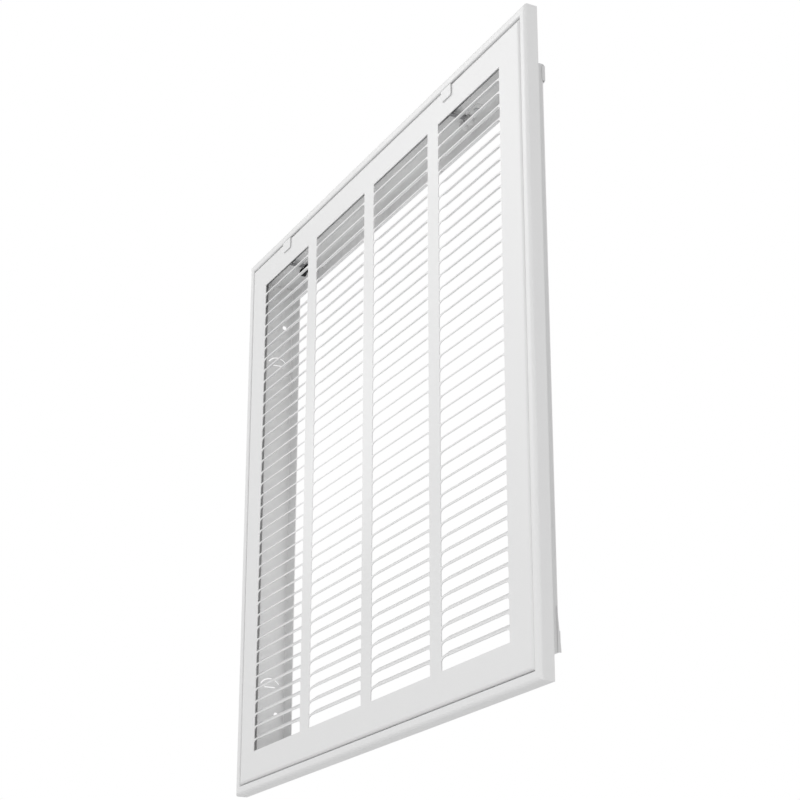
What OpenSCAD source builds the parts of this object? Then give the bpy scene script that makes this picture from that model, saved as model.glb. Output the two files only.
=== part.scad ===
// Return air filter grille for a 508 mm (20 in) square duct opening.
// A mitred sheet steel face frame carries a shallow neck that holds a 25 mm
// filter, and a stamped louvre door swings down from it on two bottom pins.
// X is to the right, Y goes into the wall and Z is up. The origin is the
// middle of the whole envelope. Lengths are in millimetres.

/* [Duct opening] */
// Width of the opening that the neck enters
duct_w = 508; // [470:1:640]
// Height of the opening that the neck enters
duct_h = 508; // [470:1:640]
// Gap between the neck and the opening on each side
duct_clear = 1; // [0.5:0.1:3]

/* [Sheet] */
// Thickness of the sheet steel
sheet = 0.8; // [0.6:0.05:1]

/* [Face frame] */
// Width of the border from the neck to the outer edge
border_w = 31; // [27:0.5:45]
// Width of the raised rim round the door
rim_w = 8.4; // [7:0.1:11]
// Outside radius of the rim's outer edge
rim_radius = 3; // [1.5:0.1:4]
// Outside radius of the rim's inner edge
rim_inner_radius = 1.2; // [1:0.1:2]
// Depth of the outer return from the face to the wall
flange_depth = 12.2; // [10:0.1:20]
// Depth of the shelf behind the door, measured from the face
shelf_depth = 7.7; // [6.3:0.1:9]

/* [Neck] */
// Depth of the side strips of the neck from the face
neck_depth = 36.8; // [32:0.1:60]
// Width of the rear lips of the sides, which stop the filter
side_lip_w = 17.5; // [8:0.5:30]
// Width of the rear lips of the top and the bottom
end_lip_w = 16; // [8:0.5:30]
// Outside radius of the rear fold
lip_radius = 2; // [1.2:0.1:3]
// Width of the flange welded behind the shelf
weld_flange_w = 12; // [8:0.5:16]
// Height of the corner tabs of the top strip
corner_tab_h = 14; // [6:0.5:20]
// Height of the tapered corner tabs of the bottom strip
corner_taper_h = 36; // [18:0.5:60]

/* [Wall fixings] */
// Radius of the screw holes in the neck's sides
screw_r = 2.25; // [1.5:0.05:3]
// Height of the screw holes above and below the middle
screw_z = 206.5; // [190:0.5:220]
// Depth of the screw holes from the face
screw_depth = 27.2; // [20:0.1:29]
// Height of the filter tabs above and below the middle
filter_tab_z = 171; // [100:0.5:180]
// Depth of the filter tabs from the face
filter_tab_depth = 20.2; // [18:0.1:22]
// Radius of the curved cut of a filter tab
filter_tab_r = 11.2; // [8:0.1:11.5]
// Width of the cuts that free a filter tab
cut_w = 1.2; // [0.8:0.1:2]

/* [Door] */
// Gap between the door and the rim
door_gap = 1.2; // [0.8:0.1:2]
// Outside radius of the door's folded edge
door_radius = 3; // [2.6:0.1:3.1]
// Gap between the closed door and the shelf
stop_gap = 0.3; // [0.2:0.05:0.6]

/* [Louvres] */
// Number of louvre columns
columns = 4; // [2:1:6]
// Width of the plain bars between the columns
mullion_w = 19.1; // [12:0.1:30]
// Distance from the neck's inner side to the first column
side_inset = 10.6; // [6:0.1:30]
// Distance from the neck's inner top to the louvred field
top_inset = 6.2; // [4:0.1:30]
// Distance from the neck's inner bottom to the louvred field
bottom_inset = 5.4; // [4:0.1:30]
// Height from one louvre to the next
louvre_pitch = 12.4; // [10:0.1:20]
// Width of a louvre from its front edge to its rear edge
louvre_chord = 10; // [8:0.1:14]
// Angle of a louvre above the horizontal
louvre_angle = 38; // [30:1:55]
// Height of the opening over the first louvre
first_gap = 9.9; // [8.5:0.1:16]
// Least height of the opening under the last louvre
last_gap = 11.5; // [8:0.1:16]
// Width of the round upper corners of the openings
slot_corner_w = 7; // [1:0.1:12]
// Height of the round upper corners of the openings
slot_corner_h = 2.6; // [1:0.1:4]

/* [Hinge] */
// Radius of the two hinge pins
pin_r = 1.5; // [1:0.1:1.7]
// Radius of the hinge pins' heads
pin_head_r = 2; // [1.8:0.05:2.1]
// Gap between a pin and its hole in the frame
pin_clear = 0.05; // [0.02:0.01:0.1]
// Length of pin beyond the frame's wall
pin_end = 1.2; // [0.5:0.1:3]

/* [Latches] */
// Distance from the neck's left side to the left thumb tab, latch open
latch_left_inset = 66; // [63:0.5:150]
// Distance from the neck's right side to the right thumb tab, latch open
latch_right_inset = 101; // [88:0.5:170]
// Travel of a latch
latch_travel = 18; // [14:0.5:20]
// Width of a thumb tab
tab_w = 17; // [10:0.5:20]
// Height of a thumb tab
tab_h = 10.8; // [8:0.1:16]
// Radius of the lower corners of a thumb tab
tab_radius = 2; // [0.5:0.1:4]
// Gap between sliding sheets
slide_clear = 0.2; // [0.1:0.05:0.3]
// Width of the tongue that reaches back to the catch
tongue_w = 5; // [4:0.5:14]
// Height of the slide plate above the tongue
plate_h = 20; // [16:0.5:21]
// Radius of the guide studs
stud_r = 1.5; // [1:0.1:2]
// Distance between the two guide studs of a latch
stud_pitch = 14; // [10:0.5:16]

/* [Catches] */
// Depth of the catch's front lip from the face
catch_depth = 16.2; // [12:0.1:18]
// Height of the catch's front lip below its plate
catch_lip_h = 2.3; // [1.5:0.1:3]
// Outside radius of the spring loops
loop_r = 4.2; // [3:0.1:6]
// Width of the spring loops along the depth
loop_w = 5; // [3:0.1:8]
// Gap between the two spring loops
loop_gap = 2; // [0.3:0.1:4]
// Distance from the middle of the open thumb tab to the middle of the loops
loop_inset = 6; // [0:0.5:14]
// Thickness of the spring strip
spring_t = 0.8; // [0.5:0.05:1]
// Radius of the catch rivets
rivet_r = 1.6; // [1:0.1:2]

/* [Hidden] */
$fn = 48;
overlap = 1;
// Length of a cut that goes through one sheet and clears both sides
through = 8 * sheet;
// Head radius of a stud or rivet for each millimetre of its own radius
head_ratio = 1.9;

// Neck and frame
neck_half_w = duct_w / 2 - duct_clear;
neck_half_h = duct_h / 2 - duct_clear;
inner_half_w = neck_half_w - sheet;
inner_half_h = neck_half_h - sheet;
half_w = neck_half_w + border_w;
half_h = neck_half_h + border_w;
rim_in_w = half_w - rim_w;
rim_in_h = half_h - rim_w;
end_strip_depth = neck_depth + sheet;

// Door
door_half_w = rim_in_w - door_gap;
door_half_h = rim_in_h - door_gap;
door_depth = shelf_depth - stop_gap;
pin_y = door_radius;
pin_z = -door_half_h + door_radius;
pin_head_h = 1.6;
field_top = inner_half_h - top_inset;
field_h = 2 * inner_half_h - top_inset - bottom_inset;
column_w = (2 * (inner_half_w - side_inset) - (columns - 1) * mullion_w) / columns;
column_pitch = column_w + mullion_w;
louvre_count = floor((field_h - first_gap - last_gap) / louvre_pitch) + 1;
// Front edge of a louvre, to a hundredth so that arcs meet lines exactly
louvre_front_h = round(100 * sheet / cos(louvre_angle)) / 100;
// Angle between the points that round the openings' upper corners
slot_corner_step = 30;

// Latches, measured at rest from the middle of the thumb tab
latch_left_x = latch_left_inset - neck_half_w;
latch_right_x = neck_half_w - latch_right_inset;
notch_clear = 1;
notch_depth = 2;
tab_stand = 0.5;
tab_front = tab_stand + sheet;
plate_gap = 0.5;
plate_y = sheet + plate_gap;
slot_half = (latch_travel + stud_pitch) / 2;
plate_margin = 3.4;
plate_half_w = slot_half + stud_r + plate_margin;
bridge_z = door_half_h - notch_depth + slide_clear;
stud_first_x = slot_half - stud_pitch;
stud_head_r = head_ratio * stud_r;

// Catches and the tongue that goes behind them
catch_z = inner_half_h;
hook_gap = 0.3;
hook_play = 0.5;
catch_half_gap = 2;
catch_start = tongue_w / 2 + catch_half_gap;
catch_end = latch_travel + tongue_w / 2 + notch_clear;
tongue_z = catch_z - spring_t - catch_lip_h - hook_gap - sheet;
tongue_top_gap = 0.4;
hook_top = catch_z - spring_t - tongue_top_gap;
hook_y = catch_depth + spring_t + hook_play;
catch_base_gap = 2.4;
catch_base_y = hook_y + sheet + catch_base_gap;
loop_sink = 0.3;
rivet_head_r = head_ratio * rivet_r;
rivet_head_h = 0.8;

// Distance from the face to the middle of the envelope
face_y = -(end_strip_depth - tab_front) / 2;

// Moves what is drawn by its depth from the face to its place
module from_face() {
    translate([0, face_y, 0]) children();
}

// Extrudes an outline drawn in X and Z along the depth
module sheet_in_depth(from, thick) {
    translate([0, from + thick, 0])
        rotate([90, 0, 0])
            linear_extrude(height = thick) children();
}

// Quarter of a bent sheet between the +X and -Y sides of its middle
module bend(radius, thick) {
    intersection() {
        difference() {
            circle(r = radius);
            circle(r = radius - thick);
        }
        translate([0, -radius]) square(radius);
    }
}

// One side of a folded frame, cut at 45 degrees at both ends
module mitred_side(turn, reach, half_length, band) {
    rotate([0, turn, 0])
        intersection() {
            linear_extrude(height = 2 * (half_length + overlap), center = true)
                children();
            rotate([90, 0, 0])
                linear_extrude(height = 4 * neck_depth, center = true)
                    polygon([
                        [reach - band, half_length - band],
                        [reach + overlap, half_length + overlap],
                        [reach + overlap, -half_length - overlap],
                        [reach - band, -half_length + band]
                    ]);
        }
}

// Section of the face frame: outer return, rim, recess wall and shelf
module frame_section(reach) {
    rim_in = reach - rim_w;
    shelf_in = reach - border_w - sheet;
    translate([reach - sheet, rim_radius])
        square([sheet, flange_depth - rim_radius]);
    translate([reach - rim_radius, rim_radius]) bend(rim_radius, sheet);
    translate([rim_in + rim_inner_radius, 0])
        square([rim_w - rim_radius - rim_inner_radius, sheet]);
    translate([rim_in + rim_inner_radius, rim_inner_radius])
        mirror([1, 0]) bend(rim_inner_radius, sheet);
    translate([rim_in, rim_inner_radius])
        square([sheet, shelf_depth + sheet - rim_inner_radius]);
    translate([shelf_in, shelf_depth])
        square([rim_in + sheet - shelf_in, sheet]);
}

module face_frame() {
    color("white") from_face() difference() {
        union() {
            for (turn = [0, 180])
                mitred_side(turn, half_w, half_h, border_w + 2 * sheet)
                    frame_section(half_w);
            for (turn = [90, -90])
                mitred_side(turn, half_h, half_w, border_w + 2 * sheet)
                    frame_section(half_h);
        }
        for (side = [-1, 1])
            translate([side * (rim_in_w + sheet / 2), pin_y, pin_z])
                rotate([0, 90, 0])
                    cylinder(r = pin_r + pin_clear, h = through, center = true);
    }
}

// Section of a neck strip: weld flange, wall and rear lip
module neck_section(reach, depth, lip_w) {
    start = shelf_depth + sheet;
    translate([reach - sheet, start])
        square([weld_flange_w + sheet, sheet]);
    translate([reach - sheet, start])
        square([sheet, depth - lip_radius - start]);
    translate([reach - lip_radius, depth - lip_radius])
        mirror([0, 1]) bend(lip_radius, sheet);
    translate([reach - sheet - lip_w, depth - sheet])
        square([lip_w + sheet - lip_radius, sheet]);
}

// Cuts that free a half-round filter tab, drawn in depth and height
module filter_tab_cuts() {
    chord_z = filter_tab_r / 2;
    intersection() {
        difference() {
            circle(r = filter_tab_r + cut_w / 2);
            circle(r = filter_tab_r - cut_w / 2);
        }
        translate([-2 * filter_tab_r, chord_z])
            square([4 * filter_tab_r, 2 * filter_tab_r]);
    }
    translate([-filter_tab_r / 2, chord_z - 3 * cut_w])
        square([filter_tab_r, cut_w]);
}

// Outline of a side strip in depth and height, round at its rear corners
module side_outline() {
    flat_h = inner_half_h - lip_radius;
    translate([0, -flat_h]) square([neck_depth, 2 * flat_h]);
    translate([0, -inner_half_h]) square([neck_depth - lip_radius, 2 * inner_half_h]);
    for (side = [-1, 1])
        translate([neck_depth - lip_radius, side * flat_h]) circle(r = lip_radius);
}

// Right strip of the neck, with its screw holes and filter tabs
module neck_side() {
    color("white") from_face() difference() {
        intersection() {
            linear_extrude(height = 2 * half_h, center = true)
                neck_section(neck_half_w, neck_depth, side_lip_w);
            rotate([90, 0, 90]) linear_extrude(height = half_w) side_outline();
        }
        for (level = [-1, 1]) {
            translate([neck_half_w, screw_depth, level * screw_z])
                rotate([0, 90, 0])
                    cylinder(r = screw_r, h = through, center = true);
            translate([neck_half_w, filter_tab_depth, level * filter_tab_z - filter_tab_r])
                rotate([90, 0, 90])
                    linear_extrude(height = through, center = true)
                        filter_tab_cuts();
        }
    }
}

module neck_left() {
    mirror([1, 0, 0]) neck_side();
}

module neck_right() {
    neck_side();
}

// Top or bottom strip, whose lip lies behind the lips of the sides
module neck_end(turn) {
    rotate([0, turn, 0])
        linear_extrude(height = 2 * neck_half_w, center = true)
            neck_section(neck_half_h, end_strip_depth, end_lip_w);
}

module neck_top() {
    color("white") from_face() difference() {
        union() {
            neck_end(-90);
            for (side = [-1, 1])
                translate([
                    side > 0 ? neck_half_w : -neck_half_w - sheet,
                    neck_depth - lip_radius,
                    neck_half_h - lip_radius - corner_tab_h
                ])
                    cube([sheet, lip_radius + sheet, corner_tab_h]);
        }
        for (x = [latch_left_x, latch_right_x])
            catch_rivet_place(x) cylinder(r = rivet_r, h = through, center = true);
    }
}

// Outline of a tapered corner tab in depth and height
module corner_taper() {
    polygon([
        [neck_depth - lip_radius, -neck_half_h],
        [end_strip_depth, -neck_half_h],
        [end_strip_depth, lip_radius - neck_half_h],
        [neck_depth - lip_radius, corner_taper_h - neck_half_h]
    ]);
}

module neck_bottom() {
    color("white") from_face() {
        neck_end(90);
        for (x = [-neck_half_w - sheet, neck_half_w])
            translate([x, 0, 0])
                rotate([90, 0, 90]) linear_extrude(height = sheet) corner_taper();
    }
}

// Middle of a catch rivet in the neck's top wall
module catch_rivet_place(x) {
    translate([
        x + (catch_start + catch_end) / 2,
        catch_base_y + loop_w / 2,
        inner_half_h
    ])
        children();
}

// Spring catch under the neck's top: plate, front lip and two loops
module catch(x) {
    loops_w = loop_inset + 2 * loop_r + loop_gap / 2;
    color("dimgray") from_face() {
        difference() {
            translate([x, 0, catch_z - spring_t]) {
                translate([-loops_w, catch_base_y, 0])
                    cube([loops_w + catch_end, loop_w, spring_t]);
                translate([catch_start, catch_depth, 0])
                    cube([catch_end - catch_start, catch_base_y - catch_depth, spring_t]);
                translate([catch_start, catch_depth, -catch_lip_h])
                    cube([catch_end - catch_start, spring_t, catch_lip_h]);
            }
            catch_rivet_place(x) cylinder(r = rivet_r, h = through, center = true);
        }
        for (side = [-1, 1])
            translate([
                x - loop_inset + side * (loop_r + loop_gap / 2),
                catch_base_y,
                catch_z - spring_t - loop_r + loop_sink
            ])
                rotate([-90, 0, 0])
                    difference() {
                        cylinder(r = loop_r, h = loop_w);
                        translate([0, 0, -overlap])
                            cylinder(r = loop_r - spring_t, h = loop_w + 2 * overlap);
                    }
    }
}

module catch_left() {
    catch(latch_left_x);
}

module catch_right() {
    catch(latch_right_x);
}

module catch_rivets() {
    color("silver") from_face()
        for (x = [latch_left_x, latch_right_x])
            catch_rivet_place(x) {
                translate([0, 0, sheet])
                    cylinder(r = rivet_head_r, h = rivet_head_h);
                translate([0, 0, -spring_t])
                    cylinder(r = rivet_r, h = spring_t + sheet);
                translate([0, 0, -spring_t - rivet_head_h])
                    cylinder(r = rivet_head_r, h = rivet_head_h);
            }
}

// Point of a slot's round upper corner, from the side up to the top edge
function corner_point(side, width, height, turn) = [
    side * (width / 2 - slot_corner_w * (1 - cos(turn))),
    height - slot_corner_h * (1 - sin(turn))
];

// Opening between two louvres, square below and round above
module slot(width, height) {
    polygon(concat(
        [[-width / 2, 0], [width / 2, 0]],
        [for (turn = [0:slot_corner_step:90]) corner_point(1, width, height, turn)],
        [for (turn = [90:-slot_corner_step:0]) corner_point(-1, width, height, turn)]
    ));
}

// Openings of one column, drawn in X and Z from the top of the field
module column_slots() {
    translate([0, -first_gap / 2])
        square([column_w, first_gap], center = true);
    for (i = [1:louvre_count]) {
        top = -first_gap - louvre_front_h - (i - 1) * louvre_pitch;
        bottom = i < louvre_count ? -first_gap - i * louvre_pitch : -field_h;
        translate([0, bottom]) slot(column_w, top - bottom);
    }
}

// Section of one louvre in depth and height, from its front edge up and back
module louvre_section() {
    run = louvre_chord * cos(louvre_angle);
    rise = louvre_chord * sin(louvre_angle);
    polygon([
        [0, -louvre_front_h],
        [0, 0],
        [run, rise],
        [run + sheet * sin(louvre_angle), rise - sheet * cos(louvre_angle)]
    ]);
}

module column_louvres() {
    rotate([90, 0, 90])
        linear_extrude(height = column_w, center = true)
            for (i = [0:louvre_count - 1])
                translate([0, -first_gap - i * louvre_pitch]) louvre_section();
}

// Section of the door's folded edge, with the flange that meets the shelf
module door_edge(reach, depth) {
    translate([reach - door_radius, door_radius]) bend(door_radius, sheet);
    if (depth > door_radius)
        translate([reach - sheet, door_radius])
            square([sheet, depth - door_radius]);
    translate([reach - 2 * door_radius, 0]) square([door_radius, sheet]);
}

// Face sheet of the door with its openings
module door_face() {
    difference() {
        square([
            2 * (door_half_w - door_radius),
            2 * (door_half_h - door_radius)
        ], center = true);
        for (i = [0:columns - 1])
            translate([(i - (columns - 1) / 2) * column_pitch, field_top])
                column_slots();
    }
}

// Cuts the door's bottom corner round about its pin, clear of the shelf
module hinge_corner(side) {
    corner = 4 * door_radius;
    translate([side * door_half_w, pin_y, pin_z])
        rotate([0, 90, 0])
            difference() {
                translate([0, 0, -corner / 2]) cube(corner);
                cylinder(r = door_radius, h = 2 * corner, center = true);
            }
}

module latch_notch(x) {
    notch_w = tab_w + latch_travel + 2 * notch_clear;
    translate([
        x - tab_w / 2 - notch_clear,
        -overlap,
        door_half_h - notch_depth
    ])
        cube([notch_w, door_depth + 2 * overlap, notch_depth + overlap]);
}

module door_panel() {
    band = 3 * door_radius;
    color("white") from_face() difference() {
        union() {
            sheet_in_depth(0, sheet) door_face();
            for (i = [0:columns - 1])
                translate([(i - (columns - 1) / 2) * column_pitch, 0, field_top])
                    column_louvres();
            for (turn = [0, 180])
                mitred_side(turn, door_half_w, door_half_h, band)
                    door_edge(door_half_w, door_depth);
            mitred_side(-90, door_half_h, door_half_w, band)
                door_edge(door_half_h, door_depth);
            mitred_side(90, door_half_h, door_half_w, band)
                door_edge(door_half_h, door_radius);
        }
        for (side = [-1, 1]) {
            hinge_corner(side);
            translate([side * door_half_w, pin_y, pin_z])
                rotate([0, 90, 0])
                    cylinder(r = pin_r, h = through, center = true);
        }
        latch_notch(latch_left_x);
        latch_notch(latch_right_x);
    }
}

// Shouldered pin fixed in the door's edge and turning in the frame
module hinge_pin(side) {
    inside = door_half_w - door_radius;
    color("silver") from_face()
        translate([side * inside, pin_y, pin_z])
            rotate([0, side * 90, 0]) {
                translate([0, 0, -pin_head_h])
                    cylinder(r = pin_head_r, h = pin_head_h);
                cylinder(r = pin_r, h = rim_in_w + sheet + pin_end - inside);
            }
}

module hinge_pin_left() {
    hinge_pin(-1);
}

module hinge_pin_right() {
    hinge_pin(1);
}

// Height of the guide slot of a latch
function slot_z() = tongue_z + sheet + plate_h / 2;

// Shouldered studs welded to the back of the door
module guide_studs() {
    color("silver") from_face()
        for (x = [latch_left_x, latch_right_x], i = [0, 1])
            translate([x + stud_first_x + i * stud_pitch, sheet, slot_z()])
                rotate([-90, 0, 0]) {
                    cylinder(r = stud_r, h = plate_gap + sheet + slide_clear);
                    translate([0, 0, plate_gap + sheet + slide_clear])
                        cylinder(r = stud_head_r, h = sheet);
                }
}

// Plate of the slide with its guide slot, drawn in X and Z
module slide_plate() {
    difference() {
        union() {
            translate([-plate_half_w, tongue_z])
                square([2 * plate_half_w, plate_h]);
            translate([-tab_w / 2, tongue_z])
                square([tab_w, bridge_z + sheet - tongue_z]);
        }
        for (side = [-1, 1])
            translate([side * slot_half, slot_z()])
                circle(r = stud_r + slide_clear / 2);
        translate([-slot_half, slot_z() - stud_r - slide_clear / 2])
            square([2 * slot_half, 2 * stud_r + slide_clear]);
    }
}

// Thumb tab with round lower corners, drawn in X and Z
module thumb_tab() {
    bottom = bridge_z + sheet - tab_h;
    translate([-tab_w / 2 + tab_radius, bottom])
        square([tab_w - 2 * tab_radius, tab_h]);
    translate([-tab_w / 2, bottom + tab_radius])
        square([tab_w, tab_h - tab_radius]);
    for (side = [-1, 1])
        translate([side * (tab_w / 2 - tab_radius), bottom + tab_radius])
            circle(r = tab_radius);
}

// One bent slide: thumb tab, bridge, plate, tongue and upturned hook
module latch(x) {
    color("white") from_face() translate([x, 0, 0]) {
        sheet_in_depth(plate_y, sheet) slide_plate();
        sheet_in_depth(-tab_front, sheet) thumb_tab();
        translate([-tab_w / 2, -tab_front, bridge_z])
            cube([tab_w, tab_front + plate_y + sheet, sheet]);
        translate([-tongue_w / 2, plate_y, tongue_z])
            cube([tongue_w, hook_y + sheet - plate_y, sheet]);
        translate([-tongue_w / 2, hook_y, tongue_z])
            cube([tongue_w, sheet, hook_top - tongue_z]);
    }
}

module latch_left() {
    latch(latch_left_x);
}

module latch_right() {
    latch(latch_right_x);
}

face_frame();
neck_top();
neck_bottom();
neck_left();
neck_right();
catch_left();
catch_right();
catch_rivets();
door_panel();
hinge_pin_left();
hinge_pin_right();
guide_studs();
latch_left();
latch_right();
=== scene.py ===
"""Return air filter grille: white enamelled sheet steel, seen from its lower right."""

import math

import bpy
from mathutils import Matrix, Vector


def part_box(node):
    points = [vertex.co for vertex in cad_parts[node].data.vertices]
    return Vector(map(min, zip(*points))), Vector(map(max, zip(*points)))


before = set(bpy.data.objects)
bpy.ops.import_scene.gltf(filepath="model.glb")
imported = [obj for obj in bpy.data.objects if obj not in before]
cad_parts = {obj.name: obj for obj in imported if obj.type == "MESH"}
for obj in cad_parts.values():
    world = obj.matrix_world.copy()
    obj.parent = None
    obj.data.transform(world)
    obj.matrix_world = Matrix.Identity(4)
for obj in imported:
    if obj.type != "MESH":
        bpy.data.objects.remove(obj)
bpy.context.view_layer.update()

# Lengths and places are in metres, angles in degrees, lamp powers in watts.
# A pair of tones is the darkest and the lightest share of a colour.

# Colours, written as they look on the real piece; two of them also hold painted shade
ENAMEL = (0.80, 0.80, 0.80)
COATED_LOOPS = (0.72, 0.72, 0.72)
# Painted shade: near black on the left catch's loops, standing in for the shade they sit in
LOOPS_IN_PAINTED_SHADE = (0.012, 0.012, 0.014)
ZINC = (0.60, 0.61, 0.62)
# Bare slide strip behind the door, darker than bare steel: painted shade along the shadow line
# under the top opening
BARE_STRIP_AND_PAINTED_SHADE = (0.30, 0.30, 0.31)
FLOOR_WHITE = (0.90, 0.90, 0.90)
STUDIO_WHITE = (1.0, 1.0, 1.0)
STUDIO_GREY = (0.650, 0.650, 0.650)

# Index of refraction of every finish
INDEX = 1.5

# Powder coat: how wide its clouds, orange peel, specks and slow waves are
CLOUD_SIZE = 0.12
PEEL_SIZE = 0.0022
SPECK_SIZE = 0.0006
WAVE_SIZE = 0.09

# Powder coat: how high they stand, how they change its gloss, and its tones
PEEL_HEIGHT = 0.000006
SPECK_HEIGHT = 0.000002
WAVE_HEIGHT = 0.00009
ENAMEL_ROUGH = 0.33
CLOUD_ROUGH = 0.07
SPECK_ROUGH = 0.03
ENAMEL_TONES = (0.985, 1.012)

# Each enamelled sheet starts at its own place in the clouds
FRAME_START = 0.0
DOOR_START = 3.7
LEFT_SLIDE_START = 5.1
RIGHT_SLIDE_START = 6.3

# Drawn strip: its lines run along x, over a wider mottle
LINE_STRETCH = (0.06, 1.0, 1.0)
LINE_SIZE = 0.0006
LINE_HEIGHT = 0.00001
LINE_ROUGH = 0.12
MOTTLE_SIZE = 0.004

# Zinc plated rivets, studs and pins
ZINC_LINE_SIZE = 0.0005
ZINC_ROUGH = 0.32
ZINC_TONES = (0.8, 1.2)

# Spring catches: how far the plate reaches down and the lip reaches back
PLATE_DEPTH = 0.0012
LIP_DEPTH = 0.003
SPRING_ROUGH = 0.34
PLATE_TONES = (0.97, 1.03)
LOOP_TONES = (0.8, 1.2)
LOOP_METAL = 0.6

# Slides: bare strip, darkened further as painted shade, from the door's sheet backward, with a
# little to spare
SHEET = 0.0009
SLIDE_ROUGH = 0.4
SLIDE_TONES = (0.85, 1.15)
SLIDE_METAL = 0.8

# Round spot weld marks on the flanges: line, spacing and form
WELD_LINE = 0.259
WELD_PITCH = 0.05
WELD_RADIUS = 0.0026
WELD_EDGE = 0.0008
WELD_DEPTH = 0.00012

# Camera, fitted to the photograph's edges; its place is from the middle of the face
SENSOR_W = 36.0
LENS = 84.54
LENS_SHIFT = (-0.0044, 0.0934)
EYE = (1.4167, -0.7046, -0.5909)
LEVEL = 90.0
TILT_UP = 19.22
TURN_LEFT = 62.38

# Floor: width, height, white share under the grille, and how far off it is all white
FLOOR_W = 12.0
FLOOR_Z = -0.72
FLOOR_NEAR = 0.55
FLOOR_FADE = 2.4

# Soft boxes: name, place, where it points, width and height, power
MIDDLE = (0.0, 0.0, 0.0)
UPPER_DOOR = (0.0, 0.0, 0.1)
UPPER_RIGHT = (0.1, 0.0, 0.2)
DUCT_LEFT = (-0.25, 0.0, -0.1)
LEFT_WALL = (-0.26, 0.01, -0.14)
SOFT_BOXES = (
    ("front_left_light", (-1.2, -1.4, 1.2), UPPER_DOOR, (1.2, 1.2), 6.8),
    ("high_sheen_light", (-1.25, -0.82, 1.3), UPPER_RIGHT, (0.7, 0.7), 1.3),
    ("low_front_light", (1.4, -1.6, -0.3), MIDDLE, (1.0, 1.0), 8.6),
    ("side_light", (2.2, 0.2, -0.2), MIDDLE, (1.5, 1.5), 1.0),
    ("duct_light", (0.35, 1.0, 0.7), DUCT_LEFT, (0.6, 0.6), 1.4),
    ("left_wall_light", (-0.06, 0.05, -0.14), LEFT_WALL, (0.05, 0.34), 0.06),
)

# Round soft-edged spot on the middle of the door
SPOT_PLACE = (-0.9, -1.5, -0.55)
SPOT_TARGET = (-0.05, 0.0, 0.02)
SPOT_ANGLE = 10.5
SPOT_POWER = 19.0
SPOT_SOFT_EDGE = 1.0
SPOT_RADIUS = 0.05


class Signal:
    """One output socket. Arithmetic on it adds Math nodes to its tree."""

    def __init__(self, finish, socket):
        self.finish = finish
        self.socket = socket

    def __add__(self, other):
        return maths("ADD", self, other)

    def __radd__(self, other):
        return maths("ADD", other, self)

    def __sub__(self, other):
        return maths("SUBTRACT", self, other)

    def __rsub__(self, other):
        return maths("SUBTRACT", other, self)

    def __mul__(self, other):
        return maths("MULTIPLY", self, other)

    def __rmul__(self, other):
        return maths("MULTIPLY", other, self)

    def __truediv__(self, other):
        return maths("DIVIDE", self, other)

    def __rtruediv__(self, other):
        return maths("DIVIDE", other, self)

    def __gt__(self, other):
        return maths("GREATER_THAN", self, other)

    def __lt__(self, other):
        return maths("LESS_THAN", self, other)


class Finish:
    """A node tree under construction: a material's or the world's."""

    def __init__(self, tree):
        self.tree = tree
        self.tree.nodes.clear()

    def add(self, kind, settings=None, sockets=None, output=0):
        node = self.tree.nodes.new(kind)
        for name, value in (settings or {}).items():
            setattr(node, name, value)
        for name, value in (sockets or {}).items():
            if isinstance(value, Signal):
                self.tree.links.new(value.socket, node.inputs[name])
            else:
                node.inputs[name].default_value = value
        return Signal(self, node.outputs[output]) if node.outputs else node


def maths(operation, first, second=0.0):
    """Math node on two values, at least one of which is a signal."""
    finish = first.finish if isinstance(first, Signal) else second.finish
    return finish.add("ShaderNodeMath", {"operation": operation}, {0: first, 1: second})


def new_material(name):
    material = bpy.data.materials.new(name)
    material.use_nodes = True
    return material, Finish(material.node_tree)


def object_place(finish):
    """Where a point lies on its own piece."""
    return finish.add("ShaderNodeTexCoord", output="Object")


def along(finish, place, axis):
    """One number of a place, as a signal."""
    return finish.add("ShaderNodeSeparateXYZ", None, {0: place}, output=axis)


def grain(finish, place, size, detail):
    """Noise from 0 to 1 whose patches are about size metres wide."""
    return finish.add(
        "ShaderNodeTexNoise",
        {"noise_dimensions": "3D"},
        {"Vector": place, "Scale": 1.0 / size, "Detail": detail},
    )


def blend(finish, amount, low, high):
    """Colour between two colours by a number signal."""
    return finish.add(
        "ShaderNodeMix",
        {"data_type": "RGBA"},
        {"Factor": amount, "A": low, "B": high},
        output="Result",
    )


def toned(finish, amount, colour, tones):
    """One colour whose tone moves between two shares of it."""
    low, high = ((*(channel * tone for channel in colour), 1.0) for tone in tones)
    return blend(finish, amount, low, high)


def bump(finish, height):
    """Normal for a relief given in metres."""
    return finish.add(
        "ShaderNodeBump", None, {"Height": height, "Strength": 1.0, "Distance": 1.0}
    )


def surface(finish, base, rough, relief, metal=0.0):
    coat = finish.add(
        "ShaderNodeBsdfPrincipled",
        None,
        {
            "Base Color": base,
            "Metallic": metal,
            "Roughness": rough,
            "IOR": INDEX,
            "Normal": bump(finish, relief),
        },
    )
    finish.add("ShaderNodeOutputMaterial", None, {"Surface": coat})


def enamel_layers(finish, place, start):
    """Tone, roughness and relief of the powder coat."""
    moved = finish.add(
        "ShaderNodeVectorMath", {"operation": "ADD"}, {0: place, 1: (start, start, start)}
    )
    cloud = grain(finish, moved, CLOUD_SIZE, detail=3.0)
    peel = grain(finish, moved, PEEL_SIZE, detail=1.0)
    speck = grain(finish, moved, SPECK_SIZE, detail=2.0)
    wave = grain(finish, moved, WAVE_SIZE, detail=0.0)
    tone = toned(finish, cloud, ENAMEL, ENAMEL_TONES)
    rough = ENAMEL_ROUGH + CLOUD_ROUGH * cloud + SPECK_ROUGH * speck
    relief = peel * PEEL_HEIGHT + speck * SPECK_HEIGHT + wave * WAVE_HEIGHT
    return tone, rough, relief


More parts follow.
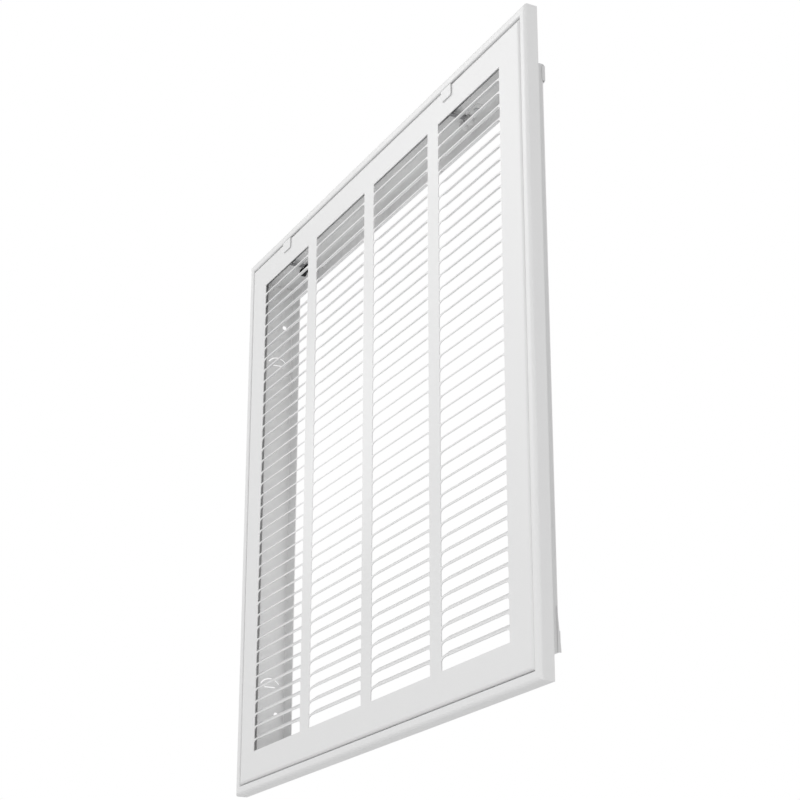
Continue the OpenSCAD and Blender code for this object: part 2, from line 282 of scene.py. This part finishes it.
def drawn_layers(finish, place, line_size, rough):
    """Mottle, roughness and relief of cold drawn strip."""
    stretched = finish.add(
        "ShaderNodeVectorMath", {"operation": "MULTIPLY"}, {0: place, 1: LINE_STRETCH}
    )
    lines = grain(finish, stretched, line_size, detail=3.0)
    mottle = grain(finish, place, MOTTLE_SIZE, detail=2.0)
    return mottle, rough + LINE_ROUGH * lines, lines * LINE_HEIGHT


def weld_row(across, lengthways):
    """1 inside each round electrode mark of one pair of opposite flanges."""
    off_line = maths("ABSOLUTE", across) - WELD_LINE
    off_mark = (maths("FRACT", lengthways / WELD_PITCH) - 0.5) * WELD_PITCH
    off_middle = maths("SQRT", off_line * off_line + off_mark * off_mark)
    inward = (WELD_RADIUS - off_middle) / WELD_EDGE
    return maths("MINIMUM", maths("MAXIMUM", inward, 0.0), 1.0)


def weld_marks(finish, place):
    """1 inside each mark on the four flanges behind the border."""
    x = along(finish, place, "X")
    z = along(finish, place, "Z")
    return weld_row(x, z) + weld_row(z, x)


def white_enamel(name, start, welded=False):
    """Powder coat: faint cloudy tone, orange-peel skin and slow waves of the sheet."""
    material, finish = new_material(name)
    place = object_place(finish)
    tone, rough, relief = enamel_layers(finish, place, start)
    if welded:
        relief = relief - WELD_DEPTH * weld_marks(finish, place)
    surface(finish, tone, rough, relief)
    return material


def zinc_plate(name):
    """Bare plated steel: long drawing lines and a mottled sheen."""
    material, finish = new_material(name)
    place = object_place(finish)
    mottle, rough, relief = drawn_layers(finish, place, ZINC_LINE_SIZE, ZINC_ROUGH)
    surface(finish, toned(finish, mottle, ZINC, ZINC_TONES), rough, relief, metal=1.0)
    return material


def sprung_strip(name, node, loops):
    """Drawn strip: enamelled plate and lip, the two loops under the plate in another tone. On the
    left catch that tone is painted shade.
    """
    material, finish = new_material(name)
    low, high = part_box(node)
    place = object_place(finish)
    under_plate = along(finish, place, "Z") < high.z - PLATE_DEPTH
    behind_lip = along(finish, place, "Y") > low.y + LIP_DEPTH
    in_loops = under_plate * behind_lip
    mottle, rough, relief = drawn_layers(finish, place, LINE_SIZE, SPRING_ROUGH)
    plate_tone = toned(finish, mottle, ENAMEL, PLATE_TONES)
    loop_tone = toned(finish, mottle, loops, LOOP_TONES)
    base = blend(finish, in_loops, plate_tone, loop_tone)
    surface(finish, base, rough, relief, metal=LOOP_METAL * in_loops)
    return material


def painted_slide(name, start):
    """Enamel where the slide shows in front of the door, bare strip behind the sheet, darkened
    further as painted shade.
    """
    material, finish = new_material(name)
    place = object_place(finish)
    door_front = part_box("door_panel")[0].y
    behind = along(finish, place, "Y") > door_front + SHEET
    tone, rough, relief = enamel_layers(finish, place, start)
    mottle, bare_rough, bare_relief = drawn_layers(finish, place, LINE_SIZE, SLIDE_ROUGH)
    base = blend(finish, behind, tone, toned(finish, mottle, BARE_STRIP_AND_PAINTED_SHADE, SLIDE_TONES))
    mixed_rough = rough + behind * (bare_rough - rough)
    mixed_relief = relief + behind * (bare_relief - relief)
    surface(finish, base, mixed_rough, mixed_relief, metal=SLIDE_METAL * behind)
    return material


def paint(node, material):
    """Gives a frame node its finish."""
    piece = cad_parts[node]
    piece.data.materials.clear()
    piece.data.materials.append(material)


def dress_frame():
    frame_paint = white_enamel("frame_enamel", FRAME_START, welded=True)
    door_paint = white_enamel("door_enamel", DOOR_START)
    plated = zinc_plate("zinc_plated_steel")
    for node in ("face_frame", "neck_top", "neck_bottom", "neck_left", "neck_right"):
        paint(node, frame_paint)
    for node in ("catch_rivets", "hinge_pin_left", "hinge_pin_right", "guide_studs"):
        paint(node, plated)
    paint("door_panel", door_paint)
    # Behind the door's sheet the slides are bare strip, darkened as painted shade
    paint("latch_left", painted_slide("left_slide_enamel", LEFT_SLIDE_START))
    paint("latch_right", painted_slide("right_slide_enamel", RIGHT_SLIDE_START))
    # The left catch's loops are painted shade, near black; the right catch's loops keep their pale
    # coat
    paint("catch_left", sprung_strip("spring_steel_painted_shade", "catch_left", LOOPS_IN_PAINTED_SHADE))
    paint("catch_right", sprung_strip("coated_spring_steel", "catch_right", COATED_LOOPS))


def set_plain_view():
    bpy.context.scene.view_settings.view_transform = "Standard"


def make_camera():
    data = bpy.data.cameras.new("camera")
    data.sensor_width = SENSOR_W
    data.lens = LENS
    data.shift_x, data.shift_y = LENS_SHIFT
    camera = bpy.data.objects.new("camera", data)
    face_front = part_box("face_frame")[0].y
    camera.location = Vector(EYE) + Vector((0.0, face_front, 0.0))
    camera.rotation_euler = (math.radians(LEVEL + TILT_UP), 0.0, math.radians(TURN_LEFT))
    bpy.context.scene.collection.objects.link(camera)
    bpy.context.scene.camera = camera


def hang_lamp(name, data, place, target):
    """Puts a lamp in its place, turned to its target and out of the camera's sight."""
    lamp = bpy.data.objects.new(name, data)
    lamp.location = place
    lamp.rotation_mode = "QUATERNION"
    lamp.rotation_quaternion = (Vector(target) - lamp.location).to_track_quat("-Z", "Y")
    lamp.visible_camera = False
    bpy.context.scene.collection.objects.link(lamp)


def make_lamps():
    for name, place, target, size, power in SOFT_BOXES:
        data = bpy.data.lights.new(name, "AREA")
        data.shape = "RECTANGLE"
        data.size, data.size_y = size
        data.energy = power
        hang_lamp(name, data, place, target)
    data = bpy.data.lights.new("door_middle_light", "SPOT")
    data.energy = SPOT_POWER
    data.spot_size = math.radians(SPOT_ANGLE)
    data.spot_blend = SPOT_SOFT_EDGE
    data.shadow_soft_size = SPOT_RADIUS
    hang_lamp("door_middle_light", data, SPOT_PLACE, SPOT_TARGET)


def plain_light(finish, kind, colour):
    """World background or emission of one plain colour at strength 1."""
    return finish.add(kind, None, {"Color": (*colour, 1.0), "Strength": 1.0})


def make_world():
    """Pale studio: grey as a light, plain white where it is seen directly or mirrored."""
    world = bpy.data.worlds.new("studio")
    world.use_nodes = True
    bpy.context.scene.world = world
    finish = Finish(world.node_tree)
    camera_ray = finish.add("ShaderNodeLightPath", output="Is Camera Ray")
    glossy_ray = finish.add("ShaderNodeLightPath", output="Is Glossy Ray")
    clear_ray = finish.add("ShaderNodeLightPath", output="Is Transmission Ray")
    seen = maths("MAXIMUM", camera_ray, maths("MAXIMUM", glossy_ray, clear_ray))
    glow = plain_light(finish, "ShaderNodeBackground", STUDIO_GREY)
    white = plain_light(finish, "ShaderNodeBackground", STUDIO_WHITE)
    mixed = finish.add("ShaderNodeMixShader", None, {0: seen, 1: glow, 2: white})
    finish.add("ShaderNodeOutputWorld", None, {"Surface": mixed})


def make_floor():
    """Wide pale floor below the camera: it keeps a soft shadow and fades out to white."""
    bpy.ops.mesh.primitive_plane_add(size=FLOOR_W, location=(0.0, 0.0, FLOOR_Z))
    floor = bpy.context.object
    floor.name = "floor"
    material, finish = new_material("pale_floor")
    camera_ray = finish.add("ShaderNodeLightPath", output="Is Camera Ray")
    place = object_place(finish)
    reach = finish.add("ShaderNodeVectorMath", {"operation": "LENGTH"}, {0: place}, output="Value")
    fade = maths("MINIMUM", FLOOR_NEAR + (1.0 - FLOOR_NEAR) * reach / FLOOR_FADE, 1.0)
    matt = finish.add("ShaderNodeBsdfDiffuse", None, {"Color": (*FLOOR_WHITE, 1.0)})
    white = plain_light(finish, "ShaderNodeEmission", STUDIO_WHITE)
    mixed = finish.add("ShaderNodeMixShader", None, {0: camera_ray * fade, 1: matt, 2: white})
    finish.add("ShaderNodeOutputMaterial", None, {"Surface": mixed})
    floor.data.materials.append(material)


set_plain_view()
make_camera()
dress_frame()
make_world()
make_lamps()
make_floor()
